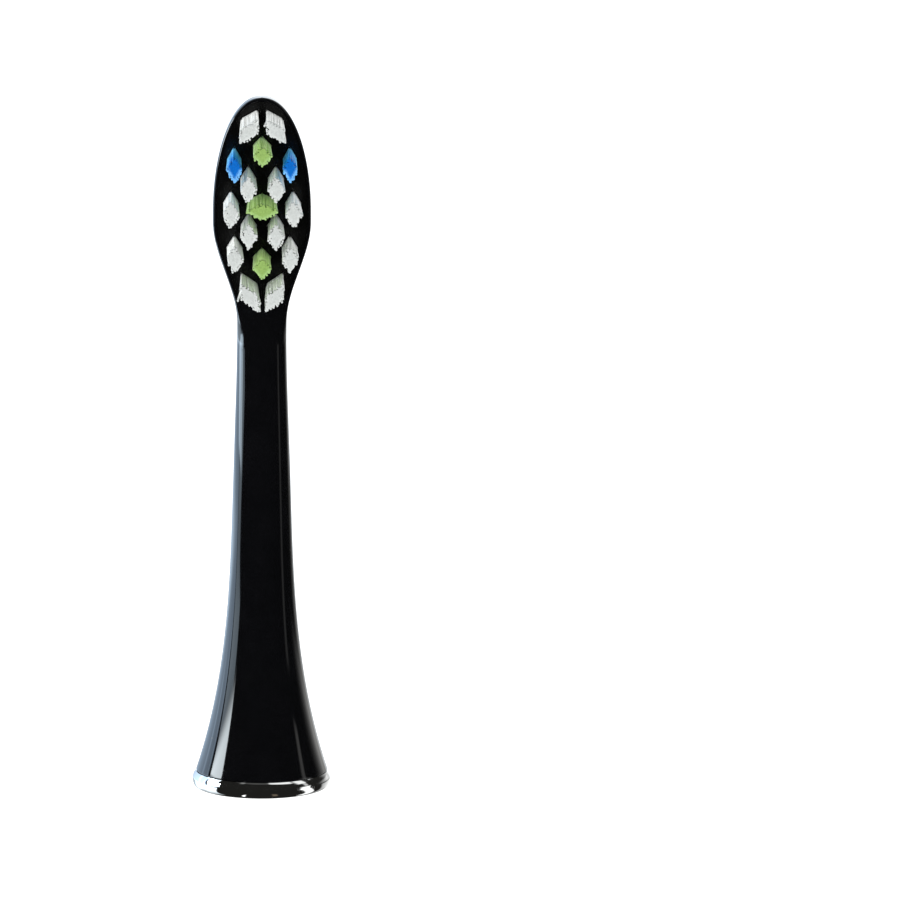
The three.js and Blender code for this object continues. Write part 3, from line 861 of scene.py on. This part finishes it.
def mix_colour(t, share, first, second):
    colours = [value if isinstance(value, bpy.types.NodeSocket) else (*value, 1.0)
               for value in (first, second)]
    return t.node(
        "ShaderNodeMix", {0: share, 6: colours[0], 7: colours[1]}, data_type="RGBA").outputs[2]


def bump(t, surface, height, distance):
    node = t.node("ShaderNodeBump", {"Height": height, "Distance": distance * MM})
    t.link(node.outputs[0], surface["Normal"])


def between(t, mask, low, high):
    """A value that goes from low to high as a mask goes from 0 to 1."""
    return t.ramp(mask, 0.0, 1.0, low, high)


def gloss_black():
    material, t, surface = start_material("gloss_black_shell", ior=1.5)
    grain = placed_effect(t, SKIN, grain_size=0.06, wave_size=2.5)
    dust = placed_effect(t, DUST, speck_spacing=3.2, speck_size=0.075, share=0.3)
    scratches = placed_effect(t, SCRATCHES, line_width=0.06, amount=0.35)
    black = mix_colour(t, grain["Mask"], (0.0013, 0.0014, 0.0018), (0.0019, 0.002, 0.0025))
    t.link(mix_colour(t, dust["Mask"], black, (0.16, 0.15, 0.13)), surface["Base Color"])
    rough = t.math("ADD", between(t, grain["Mask"], 0.035, 0.06),
                   t.math("MULTIPLY", scratches["Mask"], 0.12))
    rough = t.math("ADD", rough, t.math("MULTIPLY", dust["Mask"], 0.5))
    t.link(rough, surface["Roughness"])
    height = t.math("ADD", t.math("MULTIPLY", grain["Height"], 0.35), scratches["Height"])
    bump(t, surface, height, 0.0012)
    return material


def satin_black():
    material, t, surface = start_material("satin_black_plate", ior=1.48, specular_ior_level=0.15)
    grain = placed_effect(t, SKIN, grain_size=0.045, wave_size=1.8)
    dust = placed_effect(t, DUST, speck_spacing=1.6, speck_size=0.05, share=0.2)
    black = mix_colour(t, grain["Mask"], (0.0014, 0.0014, 0.0014), (0.0024, 0.0024, 0.0024))
    t.link(mix_colour(t, dust["Mask"], black, (0.14, 0.14, 0.12)), surface["Base Color"])
    t.link(between(t, grain["Mask"], 0.14, 0.2), surface["Roughness"])
    bump(t, surface, grain["Height"], 0.003)
    return material


# Where the rim's paler colour replaces the middle's painted shade, and where the cut end's painted
# shade starts.
PALE_RIM = 0.5, 0.85
CUT_END = 0.93, 0.995


def nylon(name, cut_core, cut_rim, core, rim, painted_root_light_from=0.3, painted_root_light_until=0.8):
    """Nylon filaments in their own colours, with painted shade and painted light.

    Toward the tips the bundle's middle is painted darker than its rim, as painted shade between
    filaments.
    Toward the root the colour turns to the rim's paler one, as painted light against the shade
    there.
    The cut ends face the light, so their colours are painted darker than those along the filaments.
    """
    material, t, surface = start_material(name, ior=1.53, specular_ior_level=0.08)
    along, outermost, strand = (
        t.node("ShaderNodeAttribute", attribute_name=label).outputs["Fac"]
        for label in ("along", "rim", "strand"))
    # Painted shade: the bundle's middle takes darker colours than its rim, and this mask brings in
    # the rim's.
    pale = t.ramp(outermost, *PALE_RIM)
    # Painted shade: the cut ends, which face the light, are painted darker than the filaments'
    # length.
    cut_end = mix_colour(t, pale, cut_core, cut_rim)
    colour_with_painted_shade = mix_colour(t, pale, core, rim)
    # Painted light: toward the root the colour turns to the rim's paler one, against the shade
    # between the tufts.
    length = mix_colour(t, t.ramp(along, painted_root_light_from, painted_root_light_until), rim, colour_with_painted_shade)
    body = mix_colour(t, t.ramp(along, *CUT_END), length, cut_end)
    tone = t.node("ShaderNodeHueSaturation", {
        "Value": between(t, strand, 0.93, 1.05), "Color": body})
    t.link(tone.outputs[0], surface["Base Color"])
    t.link(between(t, strand, 0.34, 0.52), surface["Roughness"])
    return material


def white_acetal():
    material, t, surface = start_material("white_acetal_core", ior=1.48)
    grain = placed_effect(t, SKIN, grain_size=0.08, wave_size=2.0)
    white = mix_colour(t, grain["Mask"], (0.72, 0.71, 0.66), (0.8, 0.79, 0.75))
    t.link(white, surface["Base Color"])
    t.link(between(t, grain["Mask"], 0.38, 0.5), surface["Roughness"])
    bump(t, surface, grain["Height"], 0.01)
    return material


def rolled_steel():
    material, t, surface = start_material("rolled_spring_steel", metallic=1.0)
    scratches = placed_effect(t, SCRATCHES, line_width=0.03, amount=1.0)
    grain = placed_effect(t, SKIN, grain_size=0.05, wave_size=0.8)
    steel = mix_colour(t, grain["Mask"], (0.5, 0.5, 0.5), (0.6, 0.6, 0.59))
    t.link(steel, surface["Base Color"])
    rough = t.math("ADD", between(t, grain["Mask"], 0.24, 0.34),
                   t.math("MULTIPLY", scratches["Mask"], 0.15))
    t.link(rough, surface["Roughness"])
    bump(t, surface, scratches["Height"], 0.002)
    return material


def bright_plating():
    material, t, surface = start_material("bright_plated_ring", metallic=1.0)
    grain = placed_effect(t, SKIN, grain_size=0.09, wave_size=1.4)
    scratches = placed_effect(t, SCRATCHES, line_width=0.04, amount=0.5)
    dust = placed_effect(t, DUST, speck_spacing=1.5, speck_size=0.05, share=0.25)
    metal = mix_colour(t, grain["Mask"], (0.66, 0.67, 0.68), (0.72, 0.73, 0.74))
    t.link(mix_colour(t, dust["Mask"], metal, (0.35, 0.33, 0.3)), surface["Base Color"])
    rough = t.math("ADD", between(t, grain["Mask"], 0.03, 0.06),
                   t.math("MULTIPLY", scratches["Mask"], 0.15))
    t.link(rough, surface["Roughness"])
    bump(t, surface, t.math("ADD", grain["Height"], scratches["Height"]), 0.0015)
    return material


# Cut-end colours of middle and rim, darker as painted shade, then the middle's colour, darker than
# the rim's as painted shade.
NYLONS = {
    "white": nylon(
        "white_filaments", (0.425, 0.445, 0.435), (0.48, 0.5, 0.49),
        (0.84, 0.86, 0.84), (0.86, 0.88, 0.86)),
    "green": nylon(
        "green_filaments", (0.21, 0.33, 0.09), (0.27, 0.42, 0.15),
        (0.64, 0.88, 0.35), (0.66, 0.9, 0.44)),
    "blue": nylon(
        "blue_filaments", (0.0, 0.1, 0.4), (0.13, 0.36, 0.68),
        (0.0, 0.26, 0.75), (0.2, 0.6, 0.95), painted_root_light_from=0.3, painted_root_light_until=0.9),
}

# ---- Put the pieces together ---------------------------------------------------------


def dress(piece, material):
    piece.data.materials.clear()
    piece.data.materials.append(material)


def dress_node(node, material):
    """Gives a part of the frame that stays in view its material, in its object's own slots."""
    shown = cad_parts[node]
    if not shown.material_slots:
        shown.data.materials.append(None)
    for material_slot in shown.material_slots:
        material_slot.link = "OBJECT"
        material_slot.material = material


def put_in(piece, body, node, material):
    dress(piece, material)
    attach(piece, body)
    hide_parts(node)


make_tufts(NYLONS)
put_in(make_shell(), "head", "head_shell", gloss_black())
put_in(make_ring(), "ring", "base_ring", bright_plating())
put_in(merged_copy("drive_core", "drive_core_skin"),
       "head", "drive_core", white_acetal())
put_in(merged_copy("shaft_clip", "shaft_clip_skin"),
       "head", "shaft_clip", rolled_steel())
dress_node("bristle_plate", satin_black())

# ---- Camera, surroundings and light --------------------------------------------------

VIEW_WIDTH = 0.1015
CAMERA_DISTANCE = 1.0
CAMERA_HEIGHT_ANGLE = math.radians(10)
CAMERA_SIDE_ANGLE = math.radians(-0.3)
CAMERA_ROLL = math.radians(0.23)
HEAD_LEFT_OF_MIDDLE = 0.02122
LOOKED_AT = 0.03876

HORIZON_LIGHT, OVERHEAD_LIGHT = 1.5, 0.6
BACKDROP_LIGHT = 1.5
DARK_ROOM_LIGHT = 0.018

FLOOR_REACH = 3.0
FLOOR_LEVEL = -0.0105
FLOOR_GLOW = 0.3

SOFT_LIGHT_SIZE = 0.8
SOFT_LIGHT_STRENGTH = 5.0
SOFT_LIGHT_AZIMUTH, SOFT_LIGHT_ELEVATION, SOFT_LIGHT_DISTANCE = -32, 14, 1.2

AROUND_HEIGHT = 0.03
CARD_COLUMNS, CARD_ROWS = 28, 20


def add_camera():
    """A long lens, a little above, with the head standing left of the middle."""
    data = bpy.data.cameras.new("camera")
    data.lens = data.sensor_width * CAMERA_DISTANCE / VIEW_WIDTH
    data.clip_start, data.clip_end = 0.01, 20
    camera = new_object("camera", data)
    bpy.context.scene.camera = camera
    ground = CAMERA_DISTANCE * math.cos(CAMERA_HEIGHT_ANGLE)
    turn = math.asin((HEAD_LEFT_OF_MIDDLE - ground * math.sin(CAMERA_SIDE_ANGLE)) / ground)
    forward = Vector((
        math.sin(turn) * math.cos(CAMERA_HEIGHT_ANGLE),
        math.cos(turn) * math.cos(CAMERA_HEIGHT_ANGLE),
        -math.sin(CAMERA_HEIGHT_ANGLE)))
    right = Vector((math.cos(turn), -math.sin(turn), 0))
    target = Vector((0, SHAFT_Y * MM, LOOKED_AT))
    camera.location = target - forward * CAMERA_DISTANCE + right * HEAD_LEFT_OF_MIDDLE
    camera.rotation_mode = "QUATERNION"
    roll = Quaternion(forward, -CAMERA_ROLL)
    camera.rotation_quaternion = roll @ forward.to_track_quat("-Z", "Y")


def add_world():
    """A white studio, weaker overhead. The glossy surfaces see a dark room with bright cards."""
    world = bpy.data.worlds.new("studio")
    bpy.context.scene.world = world
    world.use_nodes = True
    world.node_tree.nodes.clear()
    t = Tree(world.node_tree)
    path = t.node("ShaderNodeLightPath").outputs
    outward = t.node("ShaderNodeTexCoord").outputs["Generated"]
    upward = t.node("ShaderNodeSeparateXYZ", {0: outward}).outputs[2]
    strength = t.ramp(upward, 0.1, 0.85, HORIZON_LIGHT, OVERHEAD_LIGHT)
    backdrop = t.math("MULTIPLY", path["Is Camera Ray"], BACKDROP_LIGHT)
    studio = t.node("ShaderNodeBackground", {
        "Color": (1, 1, 1, 1), "Strength": t.math("MAXIMUM", strength, backdrop)})
    dark_room = t.node("ShaderNodeBackground", {
        "Color": (1.0, 0.97, 0.88, 1), "Strength": DARK_ROOM_LIGHT})
    both = t.node("ShaderNodeMixShader", {
        0: path["Is Glossy Ray"], 1: studio.outputs[0], 2: dark_room.outputs[0]})
    t.link(both.outputs[0], t.node("ShaderNodeOutputWorld").inputs["Surface"])


def add_floor():
    """A pale floor that only bounces light. It lies below the ring's full pull, out of sight."""
    corners = [(-1, -1), (1, -1), (1, 1), (-1, 1)]
    floor = new_object("floor", bpy.data.meshes.new("floor"))
    floor.data.from_pydata(
        [(x * FLOOR_REACH, y * FLOOR_REACH, FLOOR_LEVEL) for x, y in corners], [], [(0, 1, 2, 3)])
    material, t, surface = start_material(
        "pale_floor", roughness=0.9, specular_ior_level=0.0, emission_color=(1, 1, 1, 1),
        emission_strength=FLOOR_GLOW)
    noise = t.node("ShaderNodeTexNoise", {"Vector": object_place(t), "Scale": 40.0}).outputs[0]
    t.link(mix_colour(t, noise, (0.86, 0.86, 0.86), (0.88, 0.88, 0.88)), surface["Base Color"])
    dress(floor, material)
    floor.visible_camera = False
    floor.visible_glossy = False


def around(azimuth, elevation, distance, height=AROUND_HEIGHT):
    """A place round the head: azimuth 0 is in front of the bristles, positive to the right."""
    a, e = math.radians(azimuth), math.radians(elevation)
    return Vector((
        distance * math.sin(a) * math.cos(e),
        SHAFT_Y * MM - distance * math.cos(a) * math.cos(e),
        height + distance * math.sin(e)))


def card_place(corners, side, up):
    """The azimuth and elevation at a share of a card's width and height."""
    lower_left, lower_right, upper_right, upper_left = map(Vector, corners)
    return mix(mix(lower_left, lower_right, side), mix(upper_left, upper_right, side), up)


def card_glow(faded, levels, side, up):
    """A card's brightness at a share of its width and height."""
    fade = 1.0
    for gap, width in zip((side, 1 - side, up, 1 - up), faded):
        if width:
            fade *= smoothstep(gap, 0, width)
    return fade * mix(mix(levels[0], levels[1], side), mix(levels[3], levels[2], side), up)


def card_mesh(name, corners, faded, levels, distance, height):
    points, glow = [], []
    for j in range(CARD_ROWS + 1):
        for i in range(CARD_COLUMNS + 1):
            side, up = i / CARD_COLUMNS, j / CARD_ROWS
            points.append(around(*card_place(corners, side, up), distance, height))
            glow.append(card_glow(faded, levels, side, up))
    row = CARD_COLUMNS + 1
    faces = [(j * row + i, j * row + i + 1, (j + 1) * row + i + 1, (j + 1) * row + i)
             for j in range(CARD_ROWS) for i in range(CARD_COLUMNS)]
    mesh = bpy.data.meshes.new(name)
    mesh.from_pydata(points, [], faces)
    mesh.attributes.new("glow", "FLOAT", "POINT").data.foreach_set("value", glow)
    return mesh


def card_material(name, colour):
    """A clear sheet that shines by its glow, so that cards in front of each other add up."""
    material, t = empty_material(name)
    strength = t.node("ShaderNodeAttribute", attribute_name="glow").outputs["Fac"]
    light = t.node("ShaderNodeEmission", {"Color": (*colour, 1.0), "Strength": strength})
    clear = t.node("ShaderNodeBsdfTransparent")
    added = t.node("ShaderNodeAddShader", {0: light.outputs[0], 1: clear.outputs[0]})
    t.link(added.outputs[0], t.node("ShaderNodeOutputMaterial").inputs["Surface"])
    material.cycles.emission_sampling = "NONE"
    return material


def glow_card(name, corners, faded, levels, colour, distance=1.0, height=AROUND_HEIGHT):
    """A curved studio card that the glossy surfaces mirror.

    corners are (azimuth, elevation) at its lower left, lower right, upper right and upper left, and
    levels is its brightness there. faded is the share of its width or height over which its left,
    right, lower and upper edges fade. A card near a low centre is seen by the ring alone.
    """
    card = new_object(name, card_mesh(name, corners, faded, levels, distance, height))
    dress(card, card_material(name, colour))
    for kind in ("camera", "diffuse", "shadow", "transmission"):
        setattr(card, f"visible_{kind}", False)


def even(level):
    return (level,) * 4


DAYLIGHT = (0.86, 0.95, 1.0)
DIM_DAYLIGHT = (0.7, 0.86, 1.0)
GREY_DAYLIGHT = (0.6, 0.78, 1.0)
NEUTRAL = (1.0, 1.0, 0.98)
LAMPLIGHT = (1.0, 0.78, 0.55)

CARDS = [
    # name, corners, faded edges, levels at the corners, colour and, for a near one, its
    # distance and the height of the centre
    # A window to the left, its sill and the wall beside it.
    ("window_pane", ((-103, 3.5), (-75, 0), (-78, 26), (-110, 26)),
     (0.02, 0.04, 0.3, 0), even(14.0), DAYLIGHT),
    ("window_pane_top", ((-110, 26), (-86, 26), (-92, 48), (-120, 48)),
     (0.02, 0.08, 0, 0.15), even(2.4), DAYLIGHT),
    ("window_sill", ((-104, -5), (-79, -5), (-81, 5), (-104, 9)),
     (0, 0.05, 0, 0.5), even(2.6), DIM_DAYLIGHT),
    ("window_sill_end", ((-104, -8.3), (-92, -8.3), (-79, -5), (-104, -5)),
     (0, 0.05, 0, 0), (1.8, 1.8, 2.6, 2.6), DIM_DAYLIGHT),
    ("window_reveal", ((-114, 1), (-88, -2.4), (-95, 12), (-132, 12)),
     (0.3, 0.12, 0.15, 0.05), even(4.6), DIM_DAYLIGHT, 0.06),
    ("window_foot", ((-180, -32), (-106, -32), (-89.5, -8.3), (-180, -8.3)),
     (0.7, 0.08, 0.3, 0.02), even(2.1), DIM_DAYLIGHT),
    ("left_wall", ((-205, -10.6), (-103.5, -10.6), (-121, 50), (-205, 50)),
     (0, 0.015, 0, 0.1), (0.1, 2.6, 1.6, 0.1), GREY_DAYLIGHT),
    ("wall_streak", ((-130, -7), (-122, -7), (-128, 30), (-140, 30)),
     (0.4, 0.4, 0.1, 0.1), even(0.9), GREY_DAYLIGHT),
    ("wall_near_streak", ((-113, -7), (-107.5, -7), (-110, 30), (-118, 30)),
     (0.4, 0.4, 0.1, 0.1), even(0.9), GREY_DAYLIGHT),
    # What only the ring's lower half mirrors.
    ("low_near_pane", ((-140, -50), (-97, -56), (-78, -9), (-102, -9)),
     (0.03, 0.04, 0, 0), (0.4, 0.4, 3.0, 3.0), DAYLIGHT, 0.15, 0.0),
    ("low_far_pane", ((-176, -30), (-140, -50), (-102, -9), (-150, -9)),
     (0.35, 0, 0, 0), (0.2, 0.4, 2.0, 0.6), DAYLIGHT, 0.15, 0.0),
    ("low_strip", ((104, -60), (134, -56), (86, -9), (63, -9)),
     (0.2, 0.1, 0, 0), even(1.6), NEUTRAL, 0.15, 0.0),
    ("low_back", ((130, -44), (200, -60), (200, -9), (114, -9)),
     (0.08, 0, 0, 0), even(0.5), NEUTRAL, 0.15, 0.0),
    ("strip_end", ((60, -14), (82, -14), (86, 9), (60, 9)),
     (0.35, 0.1, 0, 0.35), even(1.5), NEUTRAL, 0.06, 0.0),
    ("left_lamp", ((-60, -70), (-50, -70), (-28, -42), (-34, -42)),
     (0.2, 0.2, 0.1, 0.1), even(2.5), NEUTRAL),
    ("right_lamp", ((24, -64), (42, -64), (26, -28), (14, -28)),
     (0.3, 0.3, 0.3, 0.3), even(0.16), LAMPLIGHT),
    # A narrow bright strip, a band overhead and the pale room behind, to the right.
    ("narrow_strip", ((75, 6), (86, 6), (86, 28), (75, 28)),
     (0.45, 0.3, 0.08, 0), even(0.75), NEUTRAL),
    ("narrow_strip_foot", ((73, -10), (86, -10), (86, 1), (73, 1)),
     (0.45, 0.45, 0, 0.2), even(0.35), NEUTRAL),
    ("narrow_strip_top", ((64, 28), (89, 28), (92, 60), (64, 60)),
     (0.4, 0.1, 0, 0), even(1.3), NEUTRAL),
    ("overhead_band", ((14, 52), (66, 38), (72, 66), (14, 74)),
     (0.1, 0.1, 0.12, 0.2), even(1.3), NEUTRAL),
    ("overhead_end", ((-75, 50), (14, 50), (14, 84), (-75, 84)),
     (0.2, 0, 0.1, 0), even(0.08), NEUTRAL),
    ("overhead_lamp", ((-52, 44), (-38, 44), (-38, 76), (-52, 76)),
     (0.3, 0.3, 0.3, 0.2), even(0.25), NEUTRAL),
    ("corner_patch", ((100, 32), (112, 32), (118, 44), (100, 48)),
     (0.3, 0.3, 0.2, 0.2), even(1.2), NEUTRAL),
    ("side_wall", ((100, -7), (150, -7), (150, 9), (108, 9)),
     (0.7, 0.2, 0.15, 0.35), (0.2, 0.8, 0.8, 0.2), NEUTRAL),
    ("back_room", ((124, -8.8), (190, -8.8), (190, 34), (122, 34)),
     (0.7, 0.15, 0, 0.1), even(1.4), NEUTRAL),
    ("back_room_foot", ((118, -32), (178, -32), (178, -8.6), (114, -8.6)),
     (0.7, 0.15, 0.5, 0.02), even(0.8), NEUTRAL),
    ("back_ceiling", ((112, 34), (240, 34), (240, 66), (112, 66)),
     (0.1, 0.2, 0.05, 0.1), even(0.3), NEUTRAL),
]


def add_lights():
    for card in CARDS:
        glow_card(*card)
    data = bpy.data.lights.new("soft_front", "AREA")
    data.shape = "SQUARE"
    data.size = SOFT_LIGHT_SIZE
    data.energy = SOFT_LIGHT_STRENGTH * math.pi * data.size ** 2
    light = new_object("soft_front", data)
    light.location = around(SOFT_LIGHT_AZIMUTH, SOFT_LIGHT_ELEVATION, SOFT_LIGHT_DISTANCE)
    light.rotation_mode = "QUATERNION"
    light.rotation_quaternion = (-light.location).to_track_quat("-Z", "Y")
    light.visible_camera = False
    light.visible_glossy = False


add_camera()
add_world()
add_floor()
add_lights()
bpy.context.scene.view_settings.view_transform = "Standard"
